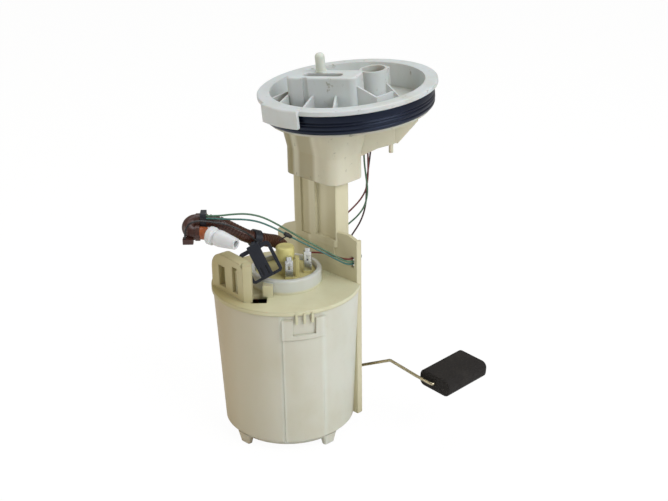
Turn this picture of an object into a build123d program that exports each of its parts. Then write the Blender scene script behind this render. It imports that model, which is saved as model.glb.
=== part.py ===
"""In-tank fuel pump module: tank flange, column, fuel reservoir, electric pump and level sender.

Millimetres, +Z up. The reservoir's axis is X = Y = 0 and its feet stand on Z = 0. The column, its back
plate and the level sender are square to a vertical symmetry plane that runs 45 degrees between +X and +Y:
"out" is the distance from the axis along that plane, "side" the distance across it.
"""
import os
from math import atan2, cos, degrees, radians, sin, tan

from build123d import *

os.makedirs("parts", exist_ok=True)

# ---------------------------------------------------------------- clearances
seat_gap = 0.05          # radial clearance of a fixed piece in its seat
run_gap = 0.06           # radial clearance of a turning fit
free_gap = 0.3           # least gap between pieces that move past each other

# ---------------------------------------------------------------- reservoir and lid
floor_under = 4.5        # underside of the reservoir floor above the feet
tub_base_r = 52.0        # outside radius above the bottom bevel
tub_rim_r = 57.4         # outside radius at the rim
tub_rim_z = 122.6
tub_wall = 2.2
tub_floor = 2.4
tub_bevel = 5.5
flat_out = 33.7          # flat side of the reservoir, against the back plate
lid_r = 58.6
lid_t = 3.4
lid_top = tub_rim_z + lid_t
spigot_depth = 5.0       # lid ring inside the rim
spigot_t = 1.6
collar_r = 28.0
collar_bore_r = 24.4
collar_h = 11.5
panel_azimuth = -75.0    # snap window on the front
panel_half = 17.0
panel_t = 0.8
strap_t = 2.0
strap_z = (102.0, 119.0)
window_half = 8.8
window_z = (106.0, 119.5)
foot_w = 9.0             # width where it stands
foot_t = 4.0
foot_r = 48.0
foot_h = 9.5
foot_taper = 14.0        # degrees, widening upwards
ring_r = 20.0            # seat ring round the axis
ring_in = 14.0
valve_x, valve_y = -26.0, -20.0
valve_stem_r = 1.5
foot_azimuths = (-135.0, -50.0, 140.0)
flat_foot_out = 30.0

# ---------------------------------------------------------------- back plate and column
plate_t = 3.0
plate_half = 44.7
plate_base = 8.5
rail_w = 2.2
rail_t = 5.1
column_front = 31.9      # front face of the column, distance out
column_depth = 16.1
column_w = 48.0
column_wall = 2.2
column_base = 150.0
column_top = 236.0
column_step = 3.3        # the right half of the front stands back this far
groove_w = 11.0
groove_t = 1.2
slot_side = 40.2         # wire slot beside the right rail
slot_w = 3.4
slot_z = (137.8, 146.6)

# ---------------------------------------------------------------- tank flange
flange_x, flange_y, flange_z = 50.0, 45.0, 271.5
flange_tilt = 4.83       # the right side stands higher
bowl_r = 60.5
rim_w = 9.9              # rim outside the bowl
rim_r = bowl_r + rim_w
rim_t = 4.0
bowl_depth = 19.5
bowl_wall = 3.0
bowl_floor = 2.5
seal_t = 3.8
seal_h = 16.0
seal_recess = 0.5        # depth of the seal's seat in the underside of the rim
cup_base = 203.0
cup_w = 57.0
cup_depth = 36.3
cup_front = 26.1
cup_wall = 2.5
cup_corner = 10.0
cup_room_z = 242.0
house_top = 12.0         # above the rim plane
house_x, house_y = -16.5, -8.5
house_turn = -21.0
house_l, house_w = 58.0, 22.0
house_corner = 6.0
well_l, well_w = 32.0, 7.6
well_y = -2.8            # in front of the housing's middle
house_well = 10.0        # depth of the well below the rim plane
flute_w = 4.0            # groove down the housing's front
flute_x = -12.5
tip_x, tip_y = -4.6, 5.4                 # spigot, from the housing's middle
tip_r = 3.75
tip_root_r = 4.6
tip_root_h = 1.2
tip_h = 15.0             # free height above the housing
tip_seat = 8.0           # depth of its bore in the housing
rib_t = 1.8
rib_top = -2.0           # below the rim plane
socket_x, socket_y = 21.5, 18.0
socket_r = 11.1
socket_wall = 1.8
socket_top = 5.0
gland_r = 6.5
gland_z = 244.0

# ---------------------------------------------------------------- electric pump
case_r = 19.0
case_t = 1.2
case_z = (22.0, 128.0)
cover_deck = 134.0       # top face of the pump's upper cover
shaft_r = 1.6
rotor_r = 13.4
magnet_r = 14.2
impeller_r = 15.6
cap_r = 7.2
cap_x, cap_y = 0.0, -4.0
cap_z = (146.5, 157.0)
stem_r = 5.4             # stem of the relief valve, under its cap
inlet_r = 5.0            # suction stub under the pump
nipple_x, nipple_y = -2.0, 17.0
nipple_top = 141.5

# ---------------------------------------------------------------- hose and fittings
hose_r = 5.2
hose_core_r = 4.6
hose_bore_r = 3.2
hose_end_r = 4.9
hose_pitch = 2.6
bend_r = 5.37            # U-bend at the free end of the hose
bend_at = Vector(-66.1, -19.85, 180.15)
bend_side = Vector(0, -0.81, -0.586)

# ---------------------------------------------------------------- level sender
sender_side = 10.0       # pivot of the float arm
sender_z = 31.5
sender_deck = 43.5       # outer face of the sender's housing, distance out
card_z = 51.0
card_w, card_h = 22.0, 15.0
card_t = 0.8
arm_out = 47.2           # plane in which the arm swings
arm_r = 1.2
arm_bend_r = 2.0         # centre line, where the wire turns into the float
pivot_r = 1.6
float_l = 46.4
float_w = 30.0
float_t = 14.0
float_side = 112.0
float_z = 56.0
float_turn = -4.5
wire_d = 1.4

# ---------------------------------------------------------------- planes
SYM = Plane.XY.rotated((0, 0, 45))                                        # X is out, Y is minus side
WALL = Plane(origin=(0, 0, 0), x_dir=(1, -1, 0), z_dir=(-1, -1, 0))      # X is side, Y is height
FLANK = Plane(origin=(0, 0, 0), x_dir=(1, 1, 0), z_dir=(1, -1, 0))       # X is out, Y is height
tilt = radians(flange_tilt)
FLANGE = Plane(
    origin=(flange_x, flange_y, flange_z), x_dir=(cos(tilt), 0, sin(tilt)), z_dir=(-sin(tilt), 0, cos(tilt))
)


def wall_at(out):
    """Vertical plane parallel to the back plate, at this distance from the axis."""
    return WALL.offset(-out)


def point_at(out, side, height):
    """World point from a distance out, a distance sideways and a height."""
    return ((out + side) / 2**0.5, (out - side) / 2**0.5, height)


def tub_radius(height):
    """Outside radius of the drafted reservoir wall."""
    low = floor_under + tub_bevel
    return tub_base_r + (tub_rim_r - tub_base_r) * (height - low) / (tub_rim_z - low)


def tub_body(inset, bottom, top):
    """Solid of the reservoir's outline, drawn in by `inset` all round, with its flat side."""
    low = max(floor_under + tub_bevel, bottom + 0.1)
    with BuildPart() as body:
        with BuildSketch(Plane.XZ):
            with BuildLine():
                Polyline(
                    (0, bottom),
                    (tub_base_r - tub_bevel - inset, bottom),
                    (tub_radius(low) - inset, low),
                    (tub_radius(top) - inset, top),
                    (0, top),
                    close=True,
                )
            make_face()
        revolve(axis=Axis.Z)
        split(bisect_by=wall_at(flat_out - inset), keep=Keep.TOP)
    return body.part


def sector(azimuth, half, low, high, reach=90.0):
    """Wedge of the axis, for cutting a stretch of a round wall."""
    with BuildPart() as wedge:
        with BuildSketch(Plane.XY.rotated((0, 0, azimuth)).offset(low)):
            with BuildLine():
                Polyline(
                    (0, 0),
                    (reach * cos(radians(half)), -reach * sin(radians(half))),
                    (reach * cos(radians(half)), reach * sin(radians(half))),
                    close=True,
                )
            make_face()
        extrude(amount=high - low)
    return wedge.part


def flatted_disc(radius, flat):
    """Disc with one flat side, drawn in the sketch that is open."""
    Circle(radius)
    with Locations((flat + radius, 0)):
        Rectangle(2 * radius, 2 * radius, mode=Mode.SUBTRACT)


def write(part, label):
    """Label a finished piece and write its STEP file."""
    part.label = label
    export_step(part, f"parts/{label}.step")
    print(f"{label:22s} {part.volume / 1000:9.3f} cm3  solids {len(part.solids())}")


# ================================================================ reservoir
tub_inside = tub_body(tub_wall, floor_under + tub_floor, tub_rim_z + 1)
panel = tub_body(-panel_t, floor_under + tub_bevel, 117.0) & sector(panel_azimuth, panel_half, 0, 130)
strap = tub_body(-strap_t, *strap_z) & sector(panel_azimuth, panel_half, 0, 130)
strap_window = sector(panel_azimuth, window_half, *window_z) - tub_body(-0.1, 0, 130)

with BuildPart() as reservoir:
    add(tub_body(0, floor_under, tub_rim_z))
    # feet, and the seat ring round the axis
    for azimuth in foot_azimuths:
        with BuildSketch(Plane.XY.rotated((0, 0, azimuth))):
            with Locations((foot_r, 0)):
                RectangleRounded(foot_t, foot_w, 1.0)
        extrude(amount=foot_h, taper=-foot_taper)
    with BuildSketch(SYM):
        with Locations((flat_foot_out, 0)):
            RectangleRounded(foot_t, foot_w, 1.0)
    extrude(amount=foot_h, taper=-foot_taper / 4)
    with BuildSketch():
        Circle(ring_r)
    extrude(amount=foot_h)
    # raised panel and snap strap on the front
    add(panel)
    add(strap)
    add(strap_window, mode=Mode.SUBTRACT)
    add(tub_inside, mode=Mode.SUBTRACT)
    # recess inside the seat ring
    with BuildSketch():
        Circle(ring_in)
    extrude(amount=floor_under, mode=Mode.SUBTRACT)
    # posts that carry the pump
    with BuildSketch(Plane.XY.offset(floor_under + tub_floor)):
        with PolarLocations(case_r - case_t / 2, 3, start_angle=45):
            Rectangle(3.0, 5.0)
    extrude(amount=case_z[0] - floor_under - tub_floor)
    # ports of the first-fill valve
    with BuildSketch(Plane.XY.offset(floor_under)):
        with Locations((valve_x, valve_y)):
            Circle(valve_stem_r + seat_gap)
            with PolarLocations(4.2, 6):
                Circle(1.4)
    extrude(amount=tub_floor, mode=Mode.SUBTRACT)
write(reservoir.part, "reservoir")

with BuildPart() as inlet_valve:
    with BuildSketch(Plane.XY.offset(floor_under + tub_floor)):
        with Locations((valve_x, valve_y)):
            Circle(7.0)
    extrude(amount=1.2)
    with BuildSketch(Plane.XY.offset(floor_under + tub_floor)):
        with Locations((valve_x, valve_y)):
            Circle(valve_stem_r)
    extrude(amount=-tub_floor)
    with BuildSketch(Plane.XY.offset(floor_under)):
        with Locations((valve_x, valve_y)):
            Circle(2.2)
    extrude(amount=-1.6)
write(inlet_valve.part, "inlet_valve")

# ================================================================ lid of the reservoir
arch_from = Vector(-57.0, -8.0, lid_top)
arch_to = Vector(-31.0, -39.5, lid_top)
arch_len = (arch_to - arch_from).length
arch_dir = (arch_to - arch_from).normalized()
ARCH = Plane(origin=arch_from, x_dir=arch_dir, z_dir=arch_dir.cross(Vector(0, 0, 1)))
arch_h = 30.5
arch_t = 9.0
sleeve_r = case_r + 3.1
spigot_r = tub_radius(tub_rim_z - spigot_depth) - tub_wall - 0.1
with BuildPart() as reservoir_lid:
    with BuildSketch(SYM.offset(tub_rim_z)):
        flatted_disc(spigot_r, flat_out - tub_wall - 0.1)
        offset(amount=-spigot_t, mode=Mode.SUBTRACT)
    extrude(amount=-spigot_depth)
    with BuildSketch(SYM.offset(tub_rim_z)):
        flatted_disc(lid_r, flat_out)
    extrude(amount=lid_t)
    # collar round the pump
    with BuildSketch(Plane.XY.offset(lid_top)):
        Circle(collar_r)
    extrude(amount=collar_h)
    fillet(reservoir_lid.faces().sort_by(Axis.Z)[-1].edges(), 1.2)
    # lug beside the collar
    with BuildSketch(Plane.XY.offset(lid_top)):
        with Locations((-13, -27)):
            Rectangle(8, 9)
    extrude(amount=collar_h - 2)
    with BuildSketch(Plane.XY.offset(lid_top)):
        Circle(collar_bore_r)
    extrude(amount=collar_h, mode=Mode.SUBTRACT)
    with BuildSketch(Plane.XY.offset(tub_rim_z - spigot_depth)):
        Circle(sleeve_r + seat_gap)
    extrude(amount=spigot_depth + lid_t, mode=Mode.SUBTRACT)
    # pocket through the lid
    with BuildSketch(Plane.XY.offset(tub_rim_z)):
        with Locations((-19.6, -34.5)):
            Rectangle(12, 14)
    extrude(amount=lid_t, mode=Mode.SUBTRACT)
    # arched hose holder, with two windows and a post at its right end
    with BuildSketch(ARCH):
        with Locations((0, -0.5)):
            Rectangle(arch_len, arch_h + 0.5, align=(Align.MIN, Align.MIN))
    extrude(amount=-arch_t)
    arch_tops = reservoir_lid.edges().filter_by(Axis(arch_from, ARCH.z_dir))
    fillet(arch_tops.group_by(Axis.Z)[-1].sort_by(Axis.X)[0], 14.0)
    arch_tops = reservoir_lid.edges().filter_by(Axis(arch_from, ARCH.z_dir))
    fillet(arch_tops.group_by(Axis.Z)[-1].sort_by(Axis.X)[-1], 7.0)
    with BuildSketch(ARCH):
        with Locations((9.5, 4)):
            Rectangle(8.5, 17, align=(Align.MIN, Align.MIN))
        with Locations((27, 4)):
            Rectangle(6.5, 21, align=(Align.MIN, Align.MIN))
    extrude(amount=-arch_t, mode=Mode.SUBTRACT)
    with BuildSketch(ARCH.offset(-3.0)):
        with Locations((4, 0.5)):
            Rectangle(arch_len - 9, 20, align=(Align.MIN, Align.MIN))
    extrude(amount=-arch_t, mode=Mode.SUBTRACT)
    with BuildSketch(Plane.XY.offset(lid_top - 0.5)):
        with Locations((-27.8, -37.2)):
            Rectangle(7.0, 6.0)
    extrude(amount=arch_h + 0.5)
    # snap hooks that reach into the reservoir's window
    for turn in (-6.0, 0.0, 6.0):
        with BuildSketch(Plane.XY.rotated((0, 0, panel_azimuth + turn)).offset(tub_rim_z - 6.5)):
            with Locations((tub_rim_r + 1.6, 0)):
                Rectangle(1.4, 2.0)
        extrude(amount=6.5 + lid_t / 2)
write(reservoir_lid.part, "reservoir_lid")

# ================================================================ back plate and column
column_mid = column_front + column_depth / 2
cell_w = (column_w - 3 * column_wall) / 2
with BuildPart() as column_bracket:
    with BuildSketch(wall_at(flat_out)):
        with BuildLine():
            Polyline(
                (-plate_half, plate_base),
                (plate_half, plate_base),
                (plate_half, 160.5),
                (36.0, 163.5),
                (-24.0, 159.0),
                (-36.0, 154.0),
                (-plate_half, 147.0),
                close=True,
            )
        make_face()
    extrude(amount=-plate_t)
    with BuildSketch(wall_at(flat_out)):
        for side, rail_top in ((-plate_half + rail_w / 2, 147.0), (plate_half - rail_w / 2, 160.5)):
            with Locations((side, (plate_base + rail_top) / 2)):
                Rectangle(rail_w, rail_top - plate_base)
    extrude(amount=-rail_t)
    # column with its foot faired into the plate
    with BuildSketch(SYM.offset(column_base)):
        with Locations((column_mid, 0)):
            RectangleRounded(column_depth, column_w, 3.0)
    extrude(amount=column_top - column_base)
    with BuildSketch(FLANK):
        with BuildLine():
            Polyline(
                (column_front, column_base + 0.5),
                (column_front + column_depth, column_base + 0.5),
                (flat_out + plate_t, column_base - 10),
                (flat_out, column_base - 10),
                close=True,
            )
        make_face()
    extrude(amount=column_w / 2 - 3.0, both=True)
    # stepped front: the right half stands back, the left half has a groove
    with BuildSketch(SYM.offset(column_base + 6)):
        with Locations((column_front + column_step / 2, -column_w / 4)):
            Rectangle(column_step, column_w / 2 - 2.4)
    extrude(amount=column_top - column_base, mode=Mode.SUBTRACT)
    with BuildSketch(SYM.offset(column_base + 4)):
        with Locations((column_front + groove_t / 2, 9.0)):
            Rectangle(groove_t, groove_w)
    extrude(amount=column_top - column_base, mode=Mode.SUBTRACT)
    # two cells inside, open at the top
    with BuildSketch(SYM.offset(column_base + 3)):
        with Locations((column_mid, column_wall / 2 + cell_w / 2)):
            Rectangle(column_depth - 2 * column_wall, cell_w)
        with Locations((column_mid + column_step / 2, -column_wall / 2 - cell_w / 2)):
            Rectangle(column_depth - 2 * column_wall - column_step, cell_w)
    extrude(amount=column_top - column_base, mode=Mode.SUBTRACT)
    # slot for the wires
    with BuildSketch(wall_at(flat_out)):
        with Locations((slot_side, sum(slot_z) / 2)):
            Rectangle(slot_w, slot_z[1] - slot_z[0])
    extrude(amount=-plate_t, mode=Mode.SUBTRACT)
    # pivot side: two ribs down the back of the plate
    with BuildSketch(wall_at(flat_out + plate_t)):
        for side in (-20.0, 32.0):
            with Locations((side, 80.0)):
                Rectangle(2.0, 130.0)
    extrude(amount=-2.2)
write(column_bracket.part, "column_bracket")

# ================================================================ tank flange
cup_mid = cup_front + cup_depth / 2
seal_in = bowl_r + bowl_wall + seat_gap
rib_from = ((-43.0, 6.0), (-44.5, -3.0), (-26.6, -15.5), (-9.0, -22.0))
rib_to = (-172.0, -152.0, -126.0, -101.0)          # azimuths at the bowl's wall
web_corners = ((4.0, -22.8), (21.5, -33.5), (34.0, -22.0))
web_tops = (6.7, -3.0, -3.0)
fin_corners = ((30.0, 12.0), (41.0, 5.0))
fin_tops = (-5.0, -17.0)
tab_azimuth = -137.0
tab_half = 15.5
tab_r = rim_r + 3.6
tab_t = tab_r - rim_r - 0.2
tab_drop = 14.0
tab_rise = 0.8


def on_flange(azimuth, length):
    """World vector in the flange's plane, turned by `azimuth` from its X."""
    turn = radians(azimuth)
    return (FLANGE.x_dir * cos(turn) + FLANGE.y_dir * sin(turn)) * length


def rib(start, end, start_top, end_top):
    """Upright rib on the bowl's floor between two points of the flange's plane, with a sloped top."""
    run = Vector(*end) - Vector(*start)
    along = on_flange(degrees(atan2(run.Y, run.X)), 1.0)
    foot = -bowl_depth - bowl_floor / 2
    with BuildPart() as wall:
        with BuildSketch(Plane(FLANGE.from_local_coords(Vector(*start)), along, along.cross(FLANGE.z_dir))):
            with BuildLine():
                Polyline((0, foot), (run.length, foot), (run.length, end_top), (0, start_top), close=True)
            make_face()
        extrude(amount=rib_t / 2, both=True)
    return wall.part


def top_edges(part, plane):
    """Edges of the face that stands furthest along this plane's normal."""
    return part.faces().sort_by(Axis(plane.origin, plane.z_dir))[-1].edges()


HOUSE = Plane(FLANGE.from_local_coords(Vector(house_x, house_y)), on_flange(house_turn, 1.0), FLANGE.z_dir)
with BuildPart() as locating_tab:
    # plate over the rim, and the skirt that hangs over the seal
    for inner_r, drop in ((rim_r - 5, 3.0), (tab_r - tab_t, tab_drop)):
        with BuildSketch(FLANGE.offset(tab_rise)):
            with BuildLine():
                tab_outer = CenterArc((0, 0), tab_r, tab_azimuth - tab_half, 2 * tab_half)
                tab_inner = CenterArc((0, 0), inner_r, tab_azimuth - tab_half, 2 * tab_half)
                Line(tab_outer @ 0, tab_inner @ 0)
                Line(tab_outer @ 1, tab_inner @ 1)
            make_face()
        extrude(amount=-drop)
    fillet(top_edges(locating_tab, FLANGE).filter_by(GeomType.CIRCLE).sort_by(SortBy.LENGTH)[-1], 1.4)

with BuildPart() as flange:
    with BuildSketch(FLANGE):
        Circle(rim_r)
    extrude(amount=-rim_t)
    fillet(flange.edges(), 1.0)
    with BuildSketch(FLANGE.offset(-rim_t / 2)):
        Circle(bowl_r + bowl_wall)
    extrude(amount=-(bowl_depth + bowl_floor - rim_t / 2))
    # cup below the bowl, flared at its top
    with BuildSketch(SYM.offset(cup_base)):
        with Locations((cup_mid, 0)):
            RectangleRounded(cup_depth, cup_w, cup_corner)
    extrude(amount=262 - cup_base)
    with BuildSketch(SYM.offset(224)):
        with Locations((cup_mid, 0)):
            RectangleRounded(cup_depth, cup_w, cup_corner)
    with BuildSketch(SYM.offset(250)):
        with Locations((cup_mid, 0)):
            RectangleRounded(cup_depth + 12, cup_w + 12, cup_corner + 6)
    loft()
    # sloped duct under the connector side, with its peg
    with BuildSketch(Plane.XZ.offset(-24)):
        with BuildLine():
            Polyline((56, 219), (61.5, 220), (73, 225.5), (86, 229), (86, 256), (56, 256), close=True)
        make_face()
    extrude(amount=-24)
    with BuildSketch(Plane.XZ.offset(-34)):
        with BuildLine():
            Polyline((80, 227), (89, 226), (104.5, 244), (106, 256), (80, 256), close=True)
        make_face()
    extrude(amount=-22)
    with BuildSketch(Plane.XY.offset(219.5)):
        with Locations((83.6, 32)):
            Circle(1.8)
    extrude(amount=30)
    # gland from which the wires leave
    with BuildSketch(Plane.XY.offset(gland_z)):
        with Locations((67, 61.5)):
            Circle(gland_r)
    extrude(amount=14)
    # bowl
    with BuildSketch(FLANGE.offset(-bowl_depth)):
        Circle(bowl_r)
    extrude(amount=2 * bowl_depth, mode=Mode.SUBTRACT)
    # housing in the bowl, with a groove down its front
    with BuildSketch(HOUSE.offset(-bowl_depth)):
        RectangleRounded(house_l, house_w, house_corner)
    extrude(amount=bowl_depth + house_top)
    fillet(top_edges(flange, FLANGE), 1.6)
    with BuildSketch(HOUSE.offset(-bowl_depth)):
        with Locations((flute_x, -house_w / 2)):
            Rectangle(flute_w, flute_w / 2)
    extrude(amount=bowl_depth + house_top, mode=Mode.SUBTRACT)
    # ribs from the housing to the bowl's wall, the bent web before the socket and the fin beside it
    for start, azimuth in zip(rib_from, rib_to):
        reach = bowl_r + bowl_wall / 2
        end = (reach * cos(radians(azimuth)), reach * sin(radians(azimuth)))
        add(rib(start, end, rib_top, min(rib_top, -rim_t)))
    add(rib(web_corners[0], web_corners[1], web_tops[0], web_tops[1]))
    add(rib(web_corners[1], web_corners[2], web_tops[1], web_tops[2]))
    with BuildSketch(FLANGE.offset(-bowl_depth - bowl_floor / 2)):
        with Locations(web_corners[1]):
            Circle(rib_t / 2)
    extrude(amount=bowl_depth + bowl_floor / 2 + web_tops[1])
    add(rib(*fin_corners, *fin_tops))
    # connector socket with its lug
    with BuildSketch(FLANGE.offset(-bowl_depth)):
        with Locations((socket_x, socket_y)):
            Circle(socket_r)
        with Locations((socket_x + socket_r, socket_y)):
            Rectangle(3.0, 4.0)
    extrude(amount=bowl_depth + socket_top)
    with BuildSketch(FLANGE.offset(-bowl_depth)):
        with Locations((socket_x, socket_y)):
            Circle(socket_r - socket_wall)
    extrude(amount=bowl_depth + socket_top, mode=Mode.SUBTRACT)
    # well in the housing, and the bore that holds the spigot
    with BuildSketch(HOUSE.offset(-house_well)):
        with Locations((0, well_y)):
            RectangleRounded(well_l, well_w, well_w / 2 - 0.5)
    extrude(amount=house_well + house_top, mode=Mode.SUBTRACT)
    with BuildSketch(HOUSE.offset(house_top - tip_seat)):
        with Locations((tip_x, tip_y)):
            Circle(tip_r + seat_gap)
    extrude(amount=tip_seat, mode=Mode.SUBTRACT)
    # room inside the cup, and the sleeve that holds the column
    with BuildSketch(SYM.offset(cup_base)):
        with Locations((cup_mid, 0)):
            RectangleRounded(cup_depth - 2 * cup_wall, cup_w - 2 * cup_wall, cup_corner - cup_wall)
    extrude(amount=cup_room_z - cup_base, mode=Mode.SUBTRACT)
    with BuildSketch(SYM.offset(cup_base + 3)):
        with Locations((column_mid, 0)):
            RectangleRounded(column_depth + 2 * cup_wall, column_w + 2 * cup_wall, 4.0)
    extrude(amount=cup_room_z - cup_base - 2)
    with BuildSketch(SYM.offset(cup_base)):
        with Locations((column_mid, 0)):
            RectangleRounded(column_depth + 2 * seat_gap, column_w + 2 * seat_gap, 3.0)
    extrude(amount=column_top - cup_base, mode=Mode.SUBTRACT)
    # locating tab, and the seal's seat in the underside of the rim
    add(locating_tab.part)
    with BuildSketch(FLANGE.offset(-rim_t)):
        Circle(seal_in + seal_t + free_gap)
        Circle(bowl_r + bowl_wall, mode=Mode.SUBTRACT)
    extrude(amount=seal_recess, mode=Mode.SUBTRACT)
write(flange.part, "flange")

# ================================================================ pieces carried by the flange
with BuildPart() as tank_seal:
    with BuildSketch(FLANGE.offset(seal_recess - rim_t)):
        Circle(seal_in + seal_t)
        Circle(seal_in, mode=Mode.SUBTRACT)
    extrude(amount=-seal_h)
    for level in (0.45, 0.75):
        with BuildSketch(FLANGE.offset(seal_recess - rim_t - level * seal_h)):
            Circle(seal_in + seal_t + 1)
            Circle(seal_in + seal_t - 0.8, mode=Mode.SUBTRACT)
        extrude(amount=-1.2, mode=Mode.SUBTRACT)
write(tank_seal.part, "tank_seal")

with BuildPart() as connector_pins:
    for pin_x in (-3.2, 3.2):
        for pin_y in (-3.2, 3.2):
            with BuildSketch(FLANGE.offset(-bowl_depth)):
                with Locations((socket_x + pin_x, socket_y + pin_y)):
                    Rectangle(1.6, 1.0)
            extrude(amount=13.0)
write(connector_pins.part, "connector_pins")

with BuildPart() as outlet_spigot:
    with BuildSketch(HOUSE.offset(house_top - tip_seat)):
        with Locations((tip_x, tip_y)):
            Circle(tip_r)
    extrude(amount=tip_seat + tip_h)
    fillet(top_edges(outlet_spigot, HOUSE), 3.2)
    with BuildSketch(HOUSE.offset(house_top)):
        with Locations((tip_x, tip_y)):
            Circle(tip_root_r)
    extrude(amount=tip_root_h)
write(outlet_spigot.part, "outlet_spigot")

# ================================================================ electric pump
case_in = case_r - case_t
with BuildPart() as pump_casing:
    with BuildSketch(Plane.XY.offset(case_z[0])):
        Circle(case_r)
        Circle(case_in, mode=Mode.SUBTRACT)
    extrude(amount=case_z[1] - case_z[0])
write(pump_casing.part, "pump_casing")

with BuildPart() as pump_sleeve:
    with BuildSketch(Plane.XY.offset(lid_top - 24)):
        Circle(sleeve_r)
    extrude(amount=24)
    with BuildSketch(Plane.XY.offset(lid_top)):
        Circle(collar_bore_r - seat_gap)
    extrude(amount=4.5)
    with BuildSketch(Plane.XY.offset(lid_top - 24)):
        Circle(case_r + seat_gap)
    extrude(amount=30, mode=Mode.SUBTRACT)
write(pump_sleeve.part, "pump_sleeve")

cover_skirt = 100.0
with BuildPart() as pump_top_cover:
    with BuildSketch(Plane.XY.offset(cover_skirt)):
        Circle(case_in - seat_gap)
    extrude(amount=case_z[1] - cover_skirt)
    with BuildSketch(Plane.XY.offset(case_z[1])):
        Circle(case_r)
    extrude(amount=2.5)
    with BuildSketch(Plane.XY.offset(lid_top + 4.5)):
        Circle(collar_bore_r - 1.0)
    extrude(amount=cover_deck - lid_top - 4.5)
    # outlet nipple, stem of the relief valve, and the rib between the terminals
    with BuildSketch(Plane.XY.offset(cover_deck)):
        with Locations((nipple_x, nipple_y)):
            Circle(hose_bore_r - seat_gap)
    extrude(amount=nipple_top - cover_deck)
    with BuildSketch(Plane.XY.offset(cover_deck)):
        with Locations((cap_x, cap_y)):
            Circle(stem_r)
    extrude(amount=cap_z[0] + 4 - cover_deck)
    with BuildSketch(Plane.XY.offset(cover_deck)):
        with Locations((9.3, -9.5)):
            RectangleRounded(3.4, 5.0, 0.8)
    extrude(amount=16.0)
    # posts under the two terminals
    with BuildSketch(Plane.XY.offset(cover_deck)):
        with Locations((3.2, -14.6), (17.2, -3.0)):
            Rectangle(6.4, 4.4)
    extrude(amount=2.0)
    # bore of the outlet, bearing seat and brush guides
    with BuildSketch(Plane.XY.offset(cover_skirt)):
        Circle(5.0)
    extrude(amount=20, mode=Mode.SUBTRACT)
    with BuildSketch(Plane.XY.offset(cover_skirt)):
        with Locations((0, 9.5), (0, -9.5)):
            Rectangle(5.0 + 2 * seat_gap, 6.0 + 2 * seat_gap)
    extrude(amount=17, mode=Mode.SUBTRACT)
    with BuildSketch(Plane.XY.offset(cover_skirt)):
        with Locations((nipple_x, nipple_y - 3.0)):
            Circle(1.8)
    extrude(amount=cover_deck - cover_skirt - 2, mode=Mode.SUBTRACT)
    with BuildSketch(Plane.XY.offset(cover_deck - 4)):
        with Locations((nipple_x, nipple_y)):
            Circle(2.0)
    extrude(amount=nipple_top, mode=Mode.SUBTRACT)
write(pump_top_cover.part, "pump_top_cover")

with BuildPart() as relief_valve_cap:
    with BuildSketch(Plane.XY.offset(cap_z[0])):
        with Locations((cap_x, cap_y)):
            Circle(cap_r)
    extrude(amount=cap_z[1] - cap_z[0])
    fillet(relief_valve_cap.faces().sort_by(Axis.Z)[-1].edges(), 1.6)
    with BuildSketch(Plane.XY.offset(cap_z[0])):
        with Locations((cap_x, cap_y)):
            Circle(stem_r + seat_gap)
    extrude(amount=4.0, mode=Mode.SUBTRACT)
write(relief_valve_cap.part, "relief_valve_cap")

chamber_z = (28.9, 33.5)
with BuildPart() as pump_bottom_cover:
    with BuildSketch(Plane.XY.offset(case_z[0])):
        Circle(case_in - seat_gap)
    extrude(amount=chamber_z[1] - case_z[0])
    with BuildSketch(Plane.XY.offset(case_z[0] - 2)):
        Circle(inlet_r)
    extrude(amount=2.0)
    with BuildSketch(Plane.XY.offset(chamber_z[0])):
        Circle(impeller_r + free_gap)
    extrude(amount=chamber_z[1] - chamber_z[0], mode=Mode.SUBTRACT)
    with BuildSketch(Plane.XY.offset(case_z[0] - 2)):
        Circle(2.5)
    extrude(amount=4.0, mode=Mode.SUBTRACT)
    with BuildSketch(Plane.XY.offset(chamber_z[0] - 4)):
        Circle(4.0)
    extrude(amount=4.0, mode=Mode.SUBTRACT)
    with BuildSketch(Plane.XY.offset(case_z[0])):
        with Locations((0, 13.0)):
            Circle(1.6)
    extrude(amount=12.0, mode=Mode.SUBTRACT)
write(pump_bottom_cover.part, "pump_bottom_cover")

with BuildPart() as pump_chamber_plate:
    with BuildSketch(Plane.XY.offset(chamber_z[1])):
        Circle(case_in - seat_gap)
        Circle(shaft_r + free_gap, mode=Mode.SUBTRACT)
        with Locations((0, -13.0)):
            Circle(1.6, mode=Mode.SUBTRACT)
    extrude(amount=4.5)
write(pump_chamber_plate.part, "pump_chamber_plate")

with BuildPart() as lower_bearing:
    with BuildSketch(Plane.XY.offset(chamber_z[0] - 4)):
        Circle(4.0 - seat_gap)
        Circle(shaft_r + run_gap, mode=Mode.SUBTRACT)
    extrude(amount=3.9)
write(lower_bearing.part, "lower_bearing")

with BuildPart() as upper_bearing:
    with BuildSketch(Plane.XY.offset(cover_skirt + 8)):
        Circle(5.0 - seat_gap)
        Circle(shaft_r + run_gap, mode=Mode.SUBTRACT)
    extrude(amount=8)
write(upper_bearing.part, "upper_bearing")

magnet_z = (46.0, 90.0)
with BuildPart() as magnets:
    with BuildSketch(Plane.XY.offset(magnet_z[0])):
        Circle(case_in - seat_gap)
        Circle(magnet_r, mode=Mode.SUBTRACT)
        Rectangle(60, 9, mode=Mode.SUBTRACT)
    extrude(amount=magnet_z[1] - magnet_z[0])
write(magnets.part, "magnets")

with BuildPart() as armature_shaft:
    with BuildSketch(Plane.XY.offset(chamber_z[0] - 3.5)):
        Circle(shaft_r)
    extrude(amount=cover_skirt + 15 - chamber_z[0] + 3.5)
write(armature_shaft.part, "armature_shaft")

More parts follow.
